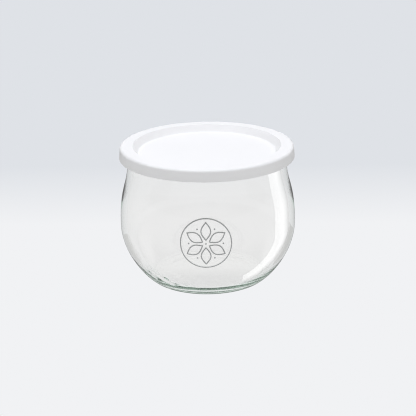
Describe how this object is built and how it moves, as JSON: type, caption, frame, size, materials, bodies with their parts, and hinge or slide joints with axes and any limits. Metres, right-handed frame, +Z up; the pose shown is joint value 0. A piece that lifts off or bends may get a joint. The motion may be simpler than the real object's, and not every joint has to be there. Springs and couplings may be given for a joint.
{
  "type": "canning jar",
  "caption": "Empty clear glass canning jar with a bulging body, heavy base and raised rosette, shut with a white push-on plastic cover.",
  "frame": {"origin": "middle of the jar's foot, on the surface it stands on", "axes": "+Z up along the jar's axis, -Y towards the viewer, where the raised rosette is"},
  "size_m": [0.1108, 0.1114, 0.0873],
  "materials": {
    "glass": "clear pressed glass, polished, faintly green where it is thick",
    "cover_plastic": "white moulded plastic, fine satin"
  },
  "bodies": {
    "root": {"jar": "glass", "cover": "cover_plastic"}
  },
  "joints": []
}
